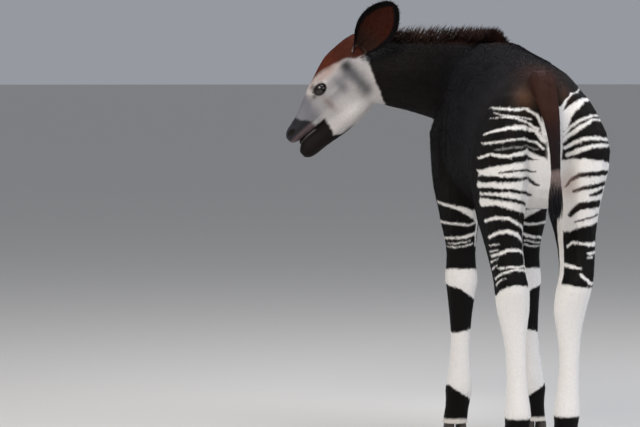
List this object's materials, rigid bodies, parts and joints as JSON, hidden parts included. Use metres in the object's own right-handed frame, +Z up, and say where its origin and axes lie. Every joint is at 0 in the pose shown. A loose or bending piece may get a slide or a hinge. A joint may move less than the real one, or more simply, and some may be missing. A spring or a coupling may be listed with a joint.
{
  "type": "okapi calf",
  "caption": "Life-size standing okapi calf with its head turned to its left and its mouth slightly open, a still model with no joints",
  "frame": {"origin": "on the floor, under the middle of the calf's box", "axes": "+Z up, the trunk faces -Y, +X is the calf's left side, to which the head is turned"},
  "size_m": [0.6528, 0.963, 1.1149],
  "materials": {
    "coat": "short black-brown coat, velvety, with an oily sheen",
    "face": "short pale grey and white face hair, red-brown on the forehead",
    "ear": "black rim, dark red-brown hollow",
    "eye": "wet, dark brown",
    "stocking": "short white hair with black bands",
    "hoof": "dark horn, worn dull",
    "tail": "short red-brown hair",
    "tuft": "long slate-black hair"
  },
  "bodies": {
    "root": {"torso": "coat", "neck": "coat", "head": "face", "ear_left": "ear", "ear_right": "ear", "eye_left": "eye", "eye_right": "eye", "leg_hind_left": "stocking", "leg_hind_right": "stocking", "leg_front_left": "stocking", "leg_front_right": "stocking", "hoof_hind_left_outer": "hoof", "hoof_hind_left_inner": "hoof", "hoof_hind_right_outer": "hoof", "hoof_hind_right_inner": "hoof", "hoof_front_left_outer": "hoof", "hoof_front_left_inner": "hoof", "hoof_front_right_outer": "hoof", "hoof_front_right_inner": "hoof", "tail": "tail", "tail_tuft": "tuft"}
  },
  "joints": []
}
